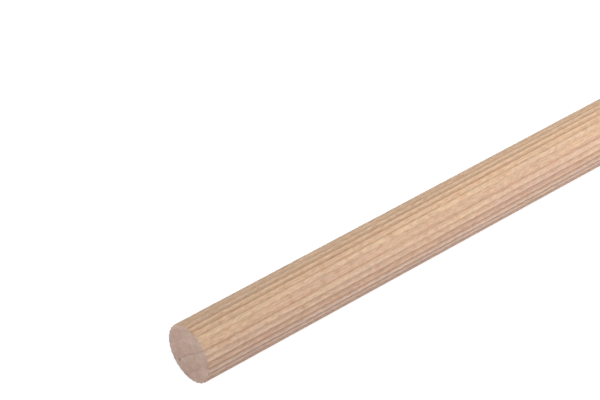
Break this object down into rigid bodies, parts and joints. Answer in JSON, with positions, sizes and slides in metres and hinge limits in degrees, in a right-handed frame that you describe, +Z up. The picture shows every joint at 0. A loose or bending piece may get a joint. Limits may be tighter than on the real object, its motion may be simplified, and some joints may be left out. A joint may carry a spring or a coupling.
{
  "type": "fluted dowel rod",
  "caption": "Straight round beech rod with shallow flutes along its whole length and square-sawn ends, cut up for glued dowel joints.",
  "frame": {"origin": "midway along the rod, straight below its axis, on the surface that it lies on", "axes": "+X along the rod, +Z up through one flute and down through the flute opposite, which the rod rests across"},
  "size_m": [0.3, 0.016, 0.0159],
  "materials": {
    "beech": "matte"
  },
  "bodies": {
    "root": {"dowel_rod": "beech"}
  },
  "joints": []
}
